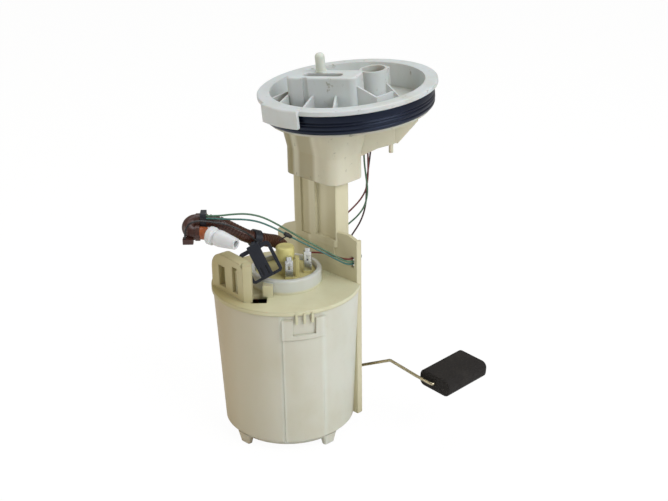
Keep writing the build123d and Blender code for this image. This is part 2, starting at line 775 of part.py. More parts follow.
with BuildPart() as armature:
    with BuildSketch(Plane.XY.offset(magnet_z[0] + 2)):
        Circle(rotor_r)
        with PolarLocations(rotor_r, 8):
            Rectangle(6.0, 1.6, mode=Mode.SUBTRACT)
        Circle(shaft_r + 0.01, mode=Mode.SUBTRACT)
    extrude(amount=magnet_z[1] - magnet_z[0] - 4)
write(armature.part, "armature")

commutator_top = 96.0
with BuildPart() as commutator:
    with BuildSketch(Plane.XY.offset(magnet_z[1] - 2)):
        Circle(10.0)
        Circle(shaft_r + 0.01, mode=Mode.SUBTRACT)
    extrude(amount=commutator_top - magnet_z[1] + 2)
write(commutator.part, "commutator")

with BuildPart() as impeller:
    with BuildSketch(Plane.XY.offset(chamber_z[0] + free_gap)):
        Circle(impeller_r)
        Circle(shaft_r + 0.01, mode=Mode.SUBTRACT)
        with PolarLocations(impeller_r - 1.4, 36):
            Rectangle(2.8, 1.3, mode=Mode.SUBTRACT)
    extrude(amount=chamber_z[1] - chamber_z[0] - 2 * free_gap)
write(impeller.part, "impeller")

with BuildPart() as brushes:
    with BuildSketch(Plane.XY.offset(commutator_top + free_gap)):
        with Locations((0, 9.5), (0, -9.5)):
            Rectangle(5.0, 6.0)
    extrude(amount=10.0)
    with BuildSketch(Plane.XY.offset(commutator_top + free_gap)):
        with Locations((0, 14), (0, -14)):
            Rectangle(8.0, 7.4)
    extrude(amount=3.0, mode=Mode.SUBTRACT)
write(brushes.part, "brushes")

with BuildPart() as brush_springs:
    with BuildSketch(Plane.XY.offset(commutator_top + free_gap + 10)):
        with Locations((0, 9.5), (0, -9.5)):
            Circle(2.2)
            Circle(1.5, mode=Mode.SUBTRACT)
    extrude(amount=cover_skirt + 17 - commutator_top - free_gap - 10)
write(brush_springs.part, "brush_springs")

with BuildPart() as suction_strainer:
    with BuildSketch(Plane.XY.offset(floor_under + tub_floor + 0.4)):
        Circle(15.0)
    extrude(amount=7.0)
    fillet(suction_strainer.edges(), 2.0)
    with BuildSketch(Plane.XY.offset(floor_under + tub_floor + 7)):
        Circle(8.0)
    extrude(amount=case_z[0] - floor_under - tub_floor - 7)
    with BuildSketch(Plane.XY.offset(case_z[0] - 5)):
        Circle(inlet_r + seat_gap)
    extrude(amount=5, mode=Mode.SUBTRACT)
write(suction_strainer.part, "suction_strainer")

# ================================================================ terminals on the pump
terminals = ((3.2, -14.6, 152.5), (17.2, -3.0, 155.0))
with BuildPart() as pump_terminals:
    for terminal_x, terminal_y, terminal_top in terminals:
        with BuildSketch(Plane.XY.offset(cover_deck + 2)):
            with Locations((terminal_x, terminal_y)):
                Rectangle(5.0, 0.8)
        extrude(amount=8.0)
write(pump_terminals.part, "pump_terminals")

clip_names = ("terminal_clip_left", "terminal_clip_right")
for name, (terminal_x, terminal_y, terminal_top) in zip(clip_names, terminals):
    with BuildPart() as terminal_clip:
        with BuildSketch(Plane.XY.offset(cover_deck + 2)):
            with Locations((terminal_x, terminal_y)):
                RectangleRounded(6.4, 4.0, 0.8)
        extrude(amount=terminal_top - cover_deck - 5)
        with BuildSketch(Plane.XY.offset(terminal_top - 3)):
            with Locations((terminal_x, terminal_y)):
                RectangleRounded(4.4, 3.6, 0.8)
        extrude(amount=3.0)
        with BuildSketch(Plane.XY.offset(cover_deck + 2)):
            with Locations((terminal_x, terminal_y)):
                Rectangle(5.0 + 2 * seat_gap, 0.8 + 2 * seat_gap)
        extrude(amount=8.0, mode=Mode.SUBTRACT)
        with BuildSketch(Plane.XZ.offset(-terminal_y)):
            with Locations((terminal_x, terminal_top - 8)):
                Rectangle(1.6, 5.0)
        extrude(amount=3.0, mode=Mode.SUBTRACT)
    write(terminal_clip.part, name)

# ================================================================ hose and its fittings
hose_points = [
    (nipple_x, nipple_y, cover_deck + 0.5),
    (nipple_x, nipple_y, 147.0),
    (-7.0, 11.0, 154.5),
    (-16.5, -4.5, 162.5),
    (-28.0, -10.5, 167.8),
    (-38.0, -13.0, 174.5),
    (-46.5, -14.5, 180.3),
    (-55.5, -15.5, 183.3),
    (-66.1, -15.5, 183.3),
]


def bend_radii(points, share=0.45):
    """Largest arc radius at each inner point that its two runs allow."""
    radii = []
    for before, here, after in zip(points, points[1:], points[2:]):
        run_in = Vector(*here) - Vector(*before)
        run_out = Vector(*after) - Vector(*here)
        turn = radians(run_in.get_angle(run_out))
        radii.append(share * min(run_in.length, run_out.length) / tan(turn / 2))
    return radii


def tube(points, outer, inner=0.0, radii=None):
    """Round tube or rod along straight runs joined by tangent arcs."""
    with BuildPart() as swept:
        with BuildLine() as route:
            FilletPolyline(*points, radius=radii or bend_radii(points))
        with BuildSketch(Plane(origin=route.line @ 0, z_dir=route.line % 0)):
            Circle(outer)
            if inner:
                Circle(inner, mode=Mode.SUBTRACT)
        sweep()
    return swept.part, route.wires()[0]


hose_tube, hose_line = tube(hose_points, hose_core_r, hose_bore_r)
with BuildPart() as outlet_hose:
    add(hose_tube)
    ring_count = int((hose_line.length - 8) / hose_pitch)
    for ring in range(ring_count):
        place = (5.0 + ring * hose_pitch) / hose_line.length
        with BuildSketch(Plane(origin=hose_line @ place, z_dir=hose_line % place)):
            Circle(hose_r)
            Circle(hose_core_r - 0.3, mode=Mode.SUBTRACT)
        extrude(amount=hose_pitch * 0.27, both=True)
write(outlet_hose.part, "outlet_hose")
hose_room, _ = tube(hose_points, hose_r + 2 * seat_gap)

bend_axis = Axis(bend_at, Vector(-1, 0, 0).cross(bend_side))
upper_leg = bend_at - bend_side * bend_r
lower_leg = bend_at + bend_side * bend_r
elbow_socket = 3.4
elbow_tab = (-71.5, -28.4, 172.6)
with BuildPart() as return_elbow:
    with BuildSketch(Plane(origin=upper_leg, x_dir=bend_side, z_dir=(-1, 0, 0))):
        Circle(bend_r - 0.1)
        Circle(hose_bore_r, mode=Mode.SUBTRACT)
    revolve(axis=bend_axis, revolution_arc=180)
    # sockets over the two hose ends
    for leg in (upper_leg, lower_leg):
        with BuildSketch(Plane(origin=leg, z_dir=(1, 0, 0))):
            Circle(hose_r + 0.75)
        extrude(amount=elbow_socket)
    for leg in (upper_leg, lower_leg):
        with BuildSketch(Plane(origin=leg, z_dir=(1, 0, 0))):
            Circle(hose_r + seat_gap)
        extrude(amount=elbow_socket, mode=Mode.SUBTRACT)
    # tab that takes the end of the ground lead
    with BuildSketch(Plane.XY.offset(elbow_tab[2] - 2)):
        with Locations(elbow_tab[:2]):
            RectangleRounded(8.0, 6.0, 0.8)
    extrude(amount=4.0)
write(return_elbow.part, "return_elbow")

fitting_dir = Vector(20, -13, -2).normalized()
tail_corner = Vector(-59.8, lower_leg.Y, lower_leg.Z)
fitting_at = tail_corner + fitting_dir * 5.0
tail_route = [tuple(lower_leg), tuple(tail_corner), tuple(fitting_at)]
hose_tail, _ = tube(tail_route, hose_end_r, hose_bore_r)
with BuildPart() as hose_end:
    add(hose_tail)
write(hose_end.part, "hose_end")

with BuildPart() as outlet_fitting:
    with BuildSketch(Plane(origin=fitting_at, x_dir=fitting_dir, z_dir=fitting_dir.cross(Vector(0, 0, 1)))):
        with BuildLine():
            Polyline(
                (0, 2.6), (0, 6.2), (1.0, 7.0),
                (4.4, 7.0), (5.6, 5.4), (7.0, 5.0), (8.2, 6.3), (11.0, 6.4),
                (25.0, 4.3), (25.0, 2.6), close=True,
            )
        make_face()
    revolve(axis=Axis(fitting_at, fitting_dir))
write(outlet_fitting.part, "outlet_fitting")

# clip on the hose's free end, which takes the wires
clip_x = -60.2
clip_w = 4.4
clip_face = clip_x + clip_w / 2
with BuildPart() as harness_clip:
    with BuildSketch(Plane.YZ.offset(clip_x - clip_w / 2)):
        with Locations((upper_leg.Y, upper_leg.Z)):
            Circle(hose_r + 1.25)
        with Locations((-17.0, 188.6)):
            RectangleRounded(9.6, 5.6, 1.0)
        with Locations((lower_leg.Y, lower_leg.Z)):
            Circle(hose_r + 0.2, mode=Mode.SUBTRACT)
    extrude(amount=clip_w)
    add(hose_room, mode=Mode.SUBTRACT)
write(harness_clip.part, "harness_clip")

# buckle that hangs on the hose above the lid
BUCKLE = Plane(origin=(-17.9, -24.5, 152.3), x_dir=(0.890, 0.136, 0.435), z_dir=(-0.095, -0.878, 0.469))
buckle_w, buckle_h, buckle_t = 26.0, 26.0, 2.0
buckle_bar = 2.6         # width of its frame
buckle_strap = 9.6
buckle_window = (buckle_w - buckle_strap) / 2 - buckle_bar
band_at = 0.5
band_plane = Plane(origin=hose_line @ band_at, z_dir=hose_line % band_at)
with BuildPart() as hose_buckle:
    with BuildSketch(BUCKLE):
        RectangleRounded(buckle_w, buckle_h, 3.0)
        window_x = (buckle_strap + buckle_window) / 2
        with Locations((-window_x, -0.5), (window_x, -0.5)):
            RectangleRounded(buckle_window, buckle_h - 2 * buckle_bar, 0.8, mode=Mode.SUBTRACT)
    extrude(amount=buckle_t / 2, both=True)
    with BuildSketch(BUCKLE.offset(buckle_t / 2 - 0.1)):
        with Locations((0, 0.8)):
            RectangleRounded(buckle_strap, buckle_h + 1.6, 1.0)
    extrude(amount=1.3)
    with BuildSketch(BUCKLE.offset(buckle_t / 2 + 1.2)):
        with Locations((-2.2, -7.2), (2.2, -7.2)):
            SlotOverall(7.0, 1.6, rotation=90)
    extrude(amount=-0.9, mode=Mode.SUBTRACT)
    # band round the hose and the arm that joins it
    with BuildSketch(band_plane):
        Circle(hose_r + 1.5)
    extrude(amount=3.0, both=True)
    with BuildSketch(Plane.YZ.offset(-22.4)):
        with BuildLine():
            Polyline((-21.0, 158.0), (-20.3, 161.4), (-12.5, 166.0), (-11.5, 160.8), close=True)
        make_face()
    extrude(amount=2.8, both=True)
    add(hose_room, mode=Mode.SUBTRACT)
write(hose_buckle.part, "hose_buckle")

# ================================================================ level sender
sender_back = flat_out + plate_t
hub_t = 5.6
hub_out = sender_deck + 0.5
pin_head_out = hub_out + hub_t + free_gap
with BuildPart() as sender_housing:
    with BuildSketch(wall_at(sender_back)):
        with Locations((sender_side, 42.0)):
            RectangleRounded(30.0, 42.0, 2.0)
    extrude(amount=-(sender_deck - sender_back))
    with BuildSketch(wall_at(sender_deck)):
        with Locations((sender_side, card_z)):
            Rectangle(card_w + 2 * seat_gap, card_h + 2 * seat_gap)
    extrude(amount=card_t, mode=Mode.SUBTRACT)
    with BuildSketch(wall_at(sender_deck)):
        with Locations((sender_side, sender_z)):
            Circle(pivot_r)
    extrude(amount=-(pin_head_out - sender_deck))
    with BuildSketch(wall_at(pin_head_out)):
        with Locations((sender_side, sender_z)):
            Circle(pivot_r + 0.7)
    extrude(amount=-1.2)
write(sender_housing.part, "sender_housing")

with BuildPart() as resistor_card:
    with BuildSketch(wall_at(sender_deck - card_t)):
        with Locations((sender_side, card_z)):
            Rectangle(card_w, card_h)
    extrude(amount=-card_t)
write(resistor_card.part, "resistor_card")

# the arm's points in its own plane: side and height
arm_points = ((sender_side + 3.0, sender_z + 1.5), (67.9, 61.0), (95.9, 57.3), (float_side, float_z))
arm_angle = degrees(atan2(arm_points[1][1] - arm_points[0][1], arm_points[1][0] - arm_points[0][0]))
arm_reach = 33.0         # length of the wire's bent end inside the float
with BuildPart() as wiper_hub:
    with BuildSketch(wall_at(hub_out)):
        with Locations((sender_side, sender_z)):
            Circle(7.0)
        with Locations(Location((sender_side + 6.2, sender_z + 3.2), arm_angle)):
            RectangleRounded(16.0, 8.0, 1.5)
    extrude(amount=-hub_t)
    with BuildSketch(wall_at(hub_out)):
        with Locations((sender_side, sender_z + 12.0)):
            Rectangle(3.0, 16.0)
    extrude(amount=-1.4)
    with BuildSketch(wall_at(hub_out)):
        with Locations((sender_side, sender_z)):
            Circle(pivot_r + run_gap)
    extrude(amount=-hub_t, mode=Mode.SUBTRACT)
    # bore that takes the arm
    with BuildSketch(
        Plane(
            origin=point_at(arm_out, *arm_points[0]),
            z_dir=Vector(*point_at(0, cos(radians(arm_angle)), sin(radians(arm_angle)))),
        )
    ):
        Circle(arm_r + 0.02)
    extrude(amount=20.0, mode=Mode.SUBTRACT)
write(wiper_hub.part, "wiper_hub")

arm_route = [point_at(arm_out, side, height) for side, height in arm_points]
arm_route.append(point_at(arm_out + arm_reach, float_side, float_z))
arm_tube, _ = tube(arm_route, arm_r, radii=[4.0, 8.0, arm_bend_r])
with BuildPart() as float_arm:
    add(arm_tube)
write(float_arm.part, "float_arm")

FLOAT = Plane(
    origin=point_at(arm_out, float_side, float_z),
    x_dir=Vector(*point_at(0, cos(radians(float_turn)), sin(radians(float_turn)))),
    z_dir=(1, 1, 0),
)
float_face = arm_bend_r + free_gap
with BuildPart() as float_body:
    with BuildSketch(FLOAT.offset(float_face)):
        RectangleRounded(float_w, float_t, 5.0)
    extrude(amount=float_l)
    fillet(float_body.faces().sort_by(Axis(FLOAT.origin, FLOAT.z_dir))[-1].edges(), 1.2)
    fillet(float_body.faces().sort_by(Axis(FLOAT.origin, FLOAT.z_dir))[0].edges(), 1.2)
    with BuildSketch(FLOAT.offset(float_face)):
        Circle(arm_r + run_gap)
    extrude(amount=arm_reach - float_face + free_gap, mode=Mode.SUBTRACT)
write(float_body.part, "float")

# ================================================================ wires
terminal_face = terminals[1][0] + 3.2      # side face of the right terminal clip
terminal_right_y = terminals[1][1]


def through_slot(side, height):
    """Points that take a wire from behind the plate to its front, through the slot."""
    return [
        point_at(49.2, side - 18.2, height),
        point_at(49.2, side - 8.2, height),
        point_at(46.2, side - 3.0, height),
        point_at(41.0, side, height),
        point_at(30.0, side, height),
    ]


wires = {
    # from the flange behind the column to the pump's right terminal
    "pump_feed_wire": [
        (66.0, 59.0, gland_z), (66.0, 59.0, 222.0), (66.5, 60.0, 203.0),
        (66.5, 59.8, 190.0), (65.0, 60.0, 178.0),
        (60.0, 60.0, 169.0), (53.0, 59.5, 161.5), (45.0, 56.0, 155.0),
        (39.5, 49.0, 150.0), (38.5, 40.0, 147.0),
        *through_slot(slot_side - 0.7, 145.2), (40.0, -3.2, 146.4), (30.0, terminal_right_y, 150.5),
        (terminal_face, terminal_right_y, 150.5),
    ],
    # from the flange to the free end of the hose, the upper of the two front arcs
    "signal_wire": [
        (63.5, 61.0, gland_z), (63.5, 61.0, 224.0), (63.0, 60.0, 206.0),
        (64.6, 57.9, 191.0), (66.3, 57.0, 178.0),
        (64.0, 58.0, 165.0), (58.0, 58.0, 156.0), (50.0, 56.5, 149.5),
        (42.5, 51.0, 145.0), (39.0, 42.0, 142.8),
        *through_slot(slot_side + 0.7, 143.0), (39.5, -7.6, 148.6), (25.0, -8.5, 157.9),
        (13.0, -10.0, 165.6), (-1.0, -12.5, 176.0),
        (-15.0, -15.0, 185.5), (-27.0, -17.5, 189.5), (-38.0, -19.0, 189.8), (-48.5, -19.5, 188.8),
        (clip_face, -19.5, 189.0),
    ],
    # from the flange to the level sender
    "sender_wire": [
        (70.0, 63.5, gland_z), (70.0, 63.5, 222.0), (67.5, 63.2, 200.0),
        (65.0, 63.0, 182.0), (65.0, 63.0, 164.0),
        (60.5, 62.5, 149.0), (52.0, 60.0, 137.0), (43.0, 53.0, 124.0),
        (36.5, 44.5, 107.0), (33.0, 34.0, 88.0),
        (30.0, 30.0, 73.0), (30.0, 30.0, 63.0),
    ],
    # from the level sender to the free end of the hose, the lower of the two front arcs
    "ground_wire": [
        point_at(41.0, 14.0, 63.0), point_at(41.0, 14.0, 84.0), point_at(42.5, 15.5, 103.0),
        point_at(45.5, 17.5, 120.0), point_at(48.0, 20.5, 131.0), point_at(49.0, 26.5, 138.5),
        point_at(47.5, 34.0, 141.0), point_at(42.5, slot_side, 140.8), point_at(30.0, slot_side, 140.8),
        (40.5, -9.3, 146.6), (29.0, -9.0, 153.4), (15.0, -11.0, 161.6),
        (3.0, -13.0, 169.4), (-8.0, -14.5, 176.7),
        (-18.5, -16.5, 182.5), (-29.0, -19.0, 185.5), (-40.0, -20.5, 186.3), (-49.0, -20.8, 187.2),
        (clip_face, -20.8, 187.3),
    ],
    # along the hose, from the buckle to the tab on the elbow
    "ground_lead": [
        (-21.5, -14.6, 165.6), (-25.0, -18.0, 172.0), (-33.0, -21.0, 178.5), (-43.0, -22.4, 183.0),
        (-54.5, -23.8, 186.0), (-65.0, -26.8, 188.2), (-71.0, -29.2, 186.0), (-73.6, -30.2, 180.5),
        (-73.6, -30.2, elbow_tab[2] + 2.0),
    ],
}
for name, points in wires.items():
    wire_tube, _ = tube(points, wire_d / 2)
    write(wire_tube, name)
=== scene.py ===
"""In-tank fuel pump module, dressed over its CAD frame: metres, +Z up, pump axis at X = Y = 0."""
import math

import bmesh
import bpy
from mathutils import Matrix, Vector


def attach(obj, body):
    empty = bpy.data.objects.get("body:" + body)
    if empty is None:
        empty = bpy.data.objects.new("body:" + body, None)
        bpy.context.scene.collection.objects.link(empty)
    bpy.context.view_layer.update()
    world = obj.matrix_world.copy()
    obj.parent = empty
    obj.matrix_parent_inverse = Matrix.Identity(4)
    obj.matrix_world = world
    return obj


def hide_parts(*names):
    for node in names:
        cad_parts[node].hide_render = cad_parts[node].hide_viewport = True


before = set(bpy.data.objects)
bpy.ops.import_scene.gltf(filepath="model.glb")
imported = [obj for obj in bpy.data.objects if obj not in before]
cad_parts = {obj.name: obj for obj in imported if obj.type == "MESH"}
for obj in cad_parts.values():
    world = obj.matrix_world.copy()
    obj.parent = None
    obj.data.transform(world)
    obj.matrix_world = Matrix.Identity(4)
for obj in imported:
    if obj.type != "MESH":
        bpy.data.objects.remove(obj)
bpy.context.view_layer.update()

# ------------------------------------------------------------------------------------------
# Tank flange: one moulding in milky white nylon, with the bowl, the housing, the connector
# socket and the cup that takes the column. Below the rim it is warmer in colour, with painted
# shade on faces turned from the light and painted highlight stripes on the cup's ridges.
# ------------------------------------------------------------------------------------------
flange_tilt = math.radians(4.83)
flange_at = Vector((0.050, 0.045, 0.2715))
flange_turn = Matrix.Translation(flange_at) @ Matrix.Rotation(-flange_tilt, 4, "Y")
warm_below = 0.2470
plain_above = 0.2545


class Amount:
    """A shader value. Arithmetic on it adds the Math nodes that work it out."""

    def __init__(self, finish, socket):
        self.finish = finish
        self.socket = socket

    def worked(self, operation, first, second):
        made = self.finish.node("ShaderNodeMath", {"operation": operation}, {0: first, 1: second})
        return Amount(self.finish, made.outputs[0])

    def __add__(self, other):
        return self.worked("ADD", self, other)

    def __radd__(self, other):
        return self.worked("ADD", other, self)

    def __sub__(self, other):
        return self.worked("SUBTRACT", self, other)

    def __rsub__(self, other):
        return self.worked("SUBTRACT", other, self)

    def __mul__(self, other):
        return self.worked("MULTIPLY", self, other)

    def __rmul__(self, other):
        return self.worked("MULTIPLY", other, self)


def seen(red, green, blue):
    """A colour as it reads on a screen, 0 to 255, turned into the shader's own scale."""
    channels = [value / 255 for value in (red, green, blue)]
    return [c / 12.92 if c <= 0.04045 else ((c + 0.055) / 1.055) ** 2.4 for c in channels] + [1.0]


class Shader:
    """A node tree, with the one method that adds nodes to it."""

    def __init__(self, tree):
        self.tree = tree

    def node(self, kind, settings=None, sockets=None):
        """Add a node: its settings first, then the values or links of its sockets."""
        made = self.tree.nodes.new(kind)
        for key, value in (settings or {}).items():
            if key == "stops":
                ramp = made.color_ramp
                while len(ramp.elements) < len(value):
                    ramp.elements.new(0.5)
                for element, (at, colour) in zip(ramp.elements, value):
                    element.position = at
                    element.color = colour
            else:
                setattr(made, key, value)
        for key, value in (sockets or {}).items():
            self.feed(made.inputs[key], value)
        return made

    def feed(self, target, value):
        """Link a value's socket to a target, or set the target's own number."""
        value = value.socket if isinstance(value, Amount) else value
        if isinstance(value, bpy.types.NodeSocket):
            self.tree.links.new(value, target)
        else:
            target.default_value = value


class Finish(Shader):
    """One material: a Principled surface and the values that feed it."""

    def __init__(self, name, **constants):
        self.material = bpy.data.materials.new(name)
        self.material.use_nodes = True
        super().__init__(self.material.node_tree)
        self.surface = self.tree.nodes["Principled BSDF"]
        for socket, value in constants.items():
            self.surface.inputs[socket.replace("_", " ")].default_value = value
        self.place = self.node("ShaderNodeTexCoord").outputs["Object"]

    def noise(self, scale, detail, stretch=(1.0, 1.0, 1.0), rough=0.5):
        """Cloudy value from 0 to 1, in the piece's own place."""
        moved = self.node("ShaderNodeMapping", sockets={"Vector": self.place, "Scale": stretch})
        made = self.node(
            "ShaderNodeTexNoise",
            sockets={"Vector": moved.outputs[0], "Scale": scale, "Detail": detail, "Roughness": rough},
        )
        return Amount(self, made.outputs["Fac"])

    def between(self, low, high, value):
        """Value of 0 below low and 1 above high, smooth between."""
        made = self.node(
            "ShaderNodeMapRange",
            {"interpolation_type": "SMOOTHSTEP"},
            {"Value": value, "From Min": low, "From Max": high},
        )
        return Amount(self, made.outputs[0])

    def spot(self):
        """The three coordinates of the shaded spot: across, deep and up, in metres."""
        parts = self.node("ShaderNodeSeparateXYZ", sockets={0: self.place})
        return [Amount(self, socket) for socket in parts.outputs]

    def bands(self, stops, along, span):
        """Value that changes from side to side, by stops of (distance in millimetres, value)."""
        across, depth, _ = self.spot()
        sideways = 0.5 + across * (along[0] / span) + depth * (along[1] / span)
        ramp = [(0.5 + at / 1000 / span, (tone, tone, tone, 1.0)) for at, tone in stops]
        made = self.node("ShaderNodeValToRGB", {"stops": ramp}, {0: sideways})
        return Amount(self, made.outputs[0])

    def crevice(self, reach):
        """Value of 1 deep in corners and 0 on faces farther than the reach from any corner."""
        made = self.node(
            "ShaderNodeAmbientOcclusion", {"samples": 6, "only_local": True}, {"Distance": reach}
        )
        return self.between(0.35, 0.95, 1.0 - Amount(self, made.outputs["AO"]))

    def mixed(self, share, first, second):
        """Colour between two colours."""
        made = self.node("ShaderNodeMix", {"data_type": "RGBA"}, {0: share, 6: first, 7: second})
        return made.outputs[2]

    def relief(self, height, depth, soft_edge=0.0004):
        """Normal with a height's relief on it and the piece's sharp edges rounded."""
        rounded = self.node("ShaderNodeBevel", {"samples": 4}, {"Radius": soft_edge})
        made = self.node(
            "ShaderNodeBump", sockets={"Distance": depth, "Height": height, "Normal": rounded.outputs[0]}
        )
        return made.outputs[0]

    def give(self, **values):
        """Feed values to the surface's own sockets."""
        for socket, value in values.items():
            self.feed(self.surface.inputs[socket.replace("_", " ")], value)

    def paint(self, *pieces):
        """Put this material on CAD nodes, by name, or on objects."""
        for piece in pieces:
            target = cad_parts[piece] if isinstance(piece, str) else piece
            target.data.materials.clear()
            target.data.materials.append(self.material)


def under_rim(finish):
    """Value of 1 below the flange's rim and 0 in its bowl and on its top."""
    across, _, up = finish.spot()
    level = up - math.tan(flange_tilt) * (across - flange_at.x)
    return 1.0 - finish.between(warm_below, plain_above, level)


def moulded(
    name, clean, stained, rough=0.42, edge=0.0005, glow=0.0, marks=0.0, corners=0.006,
    where=under_rim, warm=None, deep=None, shade_and_stain_stops=(), along=(0.7071, -0.7071), span=0.070,
):
    """Injection-moulded plastic: soft cloudy stain, painted shade in its corners, scuffs and fine grain.

    Its sharp edges show the radius `edge`, painted shade reaches `corners` out of each corner, and
    `marks` is how dark its knocks are. In the place that `where` tells, a warm colour is mixed
    with a deep one by side-to-side stops: painted shade on faces turned from the light, painted
    highlight stripes on ridges and panel edges, and on the reservoir's left side a fuel stain too.
    """
    finish = Finish(name, IOR=1.5, Subsurface_Weight=glow, Subsurface_Scale=0.004)
    cloud = finish.noise(scale=24.0, detail=3.0)
    drift = finish.noise(scale=60.0, detail=2.0, stretch=(1.0, 1.0, 0.35))
    scuffs = finish.noise(scale=260.0, detail=5.0, rough=0.7)
    specks = finish.noise(scale=1900.0, detail=2.0)
    knocks = finish.noise(scale=150.0, detail=6.0, rough=0.65)
    stain = finish.between(0.40, 0.80, 0.6 * cloud + 0.4 * drift)
    body = seen(*clean)
    if warm:
        # Side-to-side bands: painted shade on faces turned from the light and painted highlight stripes
        # on ridges; on the reservoir's left side a fuel stain too.
        through = finish.mixed(finish.bands(shade_and_stain_stops, along, span), seen(*deep), seen(*warm))
        body = finish.mixed(where(finish), body, through)
    toned = finish.mixed(0.42 * stain + 0.12 * finish.between(0.55, 0.75, scuffs), body, seen(*stained))
    # Painted shade in corners from the occlusion mask, together with the real knocks.
    corner_shade_and_knocks = 0.55 * finish.crevice(corners) + marks * finish.between(0.62, 0.70, knocks)
    finish.give(
        Base_Color=finish.mixed(corner_shade_and_knocks, toned, seen(*(0.74 * tone for tone in stained))),
        Roughness=rough + 0.14 * cloud + 0.10 * finish.between(0.5, 0.7, scuffs) - 0.05,
        Normal=finish.relief(0.5 * specks + 0.5 * cloud, depth=0.00006, soft_edge=edge),
    )
    return finish


# Below the rim the stops paint shade on the cup's faces turned from the light and painted highlight
# stripes on its ridges.
moulded(
    "milky_nylon", (212, 218, 221), (186, 180, 154), rough=0.34, edge=0.0009, glow=0.12,
    marks=0.6, corners=0.024, warm=(224, 220, 200), deep=(138, 124, 70),
    shade_and_stain_stops=(
        (-30, 0.25), (-17, 0.15), (-14, 0.85), (-11, 0.8), (-8, 0.35), (5, 0.4), (9, 0.95), (14, 0.8),
        (28, 0.95),
    ),
).paint("flange")
moulded("spigot_nylon", (214, 219, 210), (188, 188, 162), rough=0.36, glow=0.12).paint("outlet_spigot")

# ------------------------------------------------------------------------------------------
# Tank seal: a black nitrile ring stretched round the bowl under the rim, with fine lips that
# squeeze against the tank's ring. It is smooth and blue-black.
# ------------------------------------------------------------------------------------------
seal_in = 0.06355
seal_high = -0.0036
seal_low = -0.0194
seal_band = 0.0668
seal_bulge = 0.0005
seal_rounding = 0.0008
lip_depth = 0.0009
lip_width = 0.030
lip_places = (0.20, 0.42, 0.56)
seal_facets = 160
section_steps = 60
crease_angle = math.radians(40.0)


def lathe(name, outline, facets, place):
    """Round piece about its own Z, from points of (radius, height)."""
    mesh = bpy.data.meshes.new(name)
    work = bmesh.new()
    rings = []
    for facet in range(facets):
        turn = 2 * math.pi * facet / facets
        rings.append([work.verts.new((r * math.cos(turn), r * math.sin(turn), z)) for r, z in outline])
    for ring, following in zip(rings, rings[1:] + rings[:1]):
        for i in range(len(outline)):
            j = (i + 1) % len(outline)
            work.faces.new((ring[i], following[i], following[j], ring[j]))
    bmesh.ops.recalc_face_normals(work, faces=work.faces)
    work.to_mesh(mesh)
    work.free()
    mesh.transform(place)
    piece = bpy.data.objects.new(name, mesh)
    bpy.context.collection.objects.link(piece)
    for face in mesh.polygons:
        face.use_smooth = True
    with bpy.context.temp_override(object=piece, active_object=piece, selected_objects=[piece]):
        bpy.ops.object.shade_auto_smooth(angle=crease_angle)
    return piece


def seal_outline():
    """Seal section: flat inside, a plain band outside and fine lips between narrow grooves."""
    outline = [(seal_in, seal_high), (seal_in, seal_low)]
    for i in range(section_steps + 1):
        share = i / section_steps
        groove = lip_depth * sum(math.exp(-(((share - at) / lip_width) ** 2)) for at in lip_places)
        rounding = seal_rounding * (2 * abs(share - 0.5)) ** 8
        bulge = seal_bulge * math.sin(math.pi * share)
        height = seal_low + (seal_high - seal_low) * share
        outline.append((seal_band - groove - rounding + bulge, height))
    return outline


tank_seal = lathe("tank_seal_ribbed", seal_outline(), seal_facets, flange_turn)
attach(tank_seal, "module")
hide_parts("tank_seal")


def rubber(name, dark, dusty, rough=0.42, coat=0.0, grain=1.0):
    """Rubber: dark, with dust in the hollows, dull and shiny patches, and a fine skin."""
    finish = Finish(name, IOR=1.52, Coat_Roughness=0.25)
    cloud = finish.noise(scale=60.0, detail=4.0)
    skin = finish.noise(scale=1500.0, detail=3.0)
    share = 0.45 * finish.between(0.45, 0.75, cloud) + 0.35 * finish.crevice(0.003)
    finish.give(
        Base_Color=finish.mixed(share, seen(*dark), seen(*dusty)),
        Roughness=rough + 0.2 * cloud - 0.08,
        Coat_Weight=coat * (1.0 - cloud),
        Normal=finish.relief(skin * grain, depth=0.00005, soft_edge=0.0003),
    )
    return finish


nitrile = rubber("seal_nitrile", (8, 12, 28), (16, 21, 42), rough=0.34, coat=0.2, grain=0.5)
nitrile.give(Specular_Tint=(0.55, 0.68, 1.0, 1.0), Coat_Tint=(0.7, 0.8, 1.0, 1.0))
nitrile.paint(tank_seal)

# ------------------------------------------------------------------------------------------
# Column and back plate: one ivory acetal moulding that joins the flange to the reservoir. Its
# front is stepped and ribbed, and it is a little yellowed by fuel. Painted shade darkens its
# faces turned from the light, and painted highlight stripes run down its ridges.
# ------------------------------------------------------------------------------------------
moulded(
    "ivory_acetal", (218, 212, 186), (196, 184, 142), rough=0.30, edge=0.0008,
    warm=(232, 227, 200), deep=(176, 164, 112),
    shade_and_stain_stops=(
        (-34, 0.8), (-24, 0.9), (-20, 0.55), (-8, 0.5), (-5.5, 1.0), (-3, 0.9), (9, 0.85), (13, 0.7),
        (22, 0.75),
    ),
).paint("column_bracket")

# ------------------------------------------------------------------------------------------
# Reservoir and its lid: two mouldings in natural acetal. Years in fuel have left the reservoir
# greyer than the lid, with a warm stain on its left side. Painted shade darkens the left of
# both, and painted highlight stripes run down the edges of the reservoir's panel.
# ------------------------------------------------------------------------------------------
collar_r_squared = (0.00082, 0.00088)
collar_foot = 0.1262
collar_plain = 0.1290


def off_collar(finish):
    """Value of 0 on the collar round the pump and 1 on the rest of the lid."""
    across, depth, up = finish.spot()
    near = 1.0 - finish.between(*collar_r_squared, across * across + depth * depth)
    return 1.0 - near * finish.between(collar_foot, collar_plain, up)


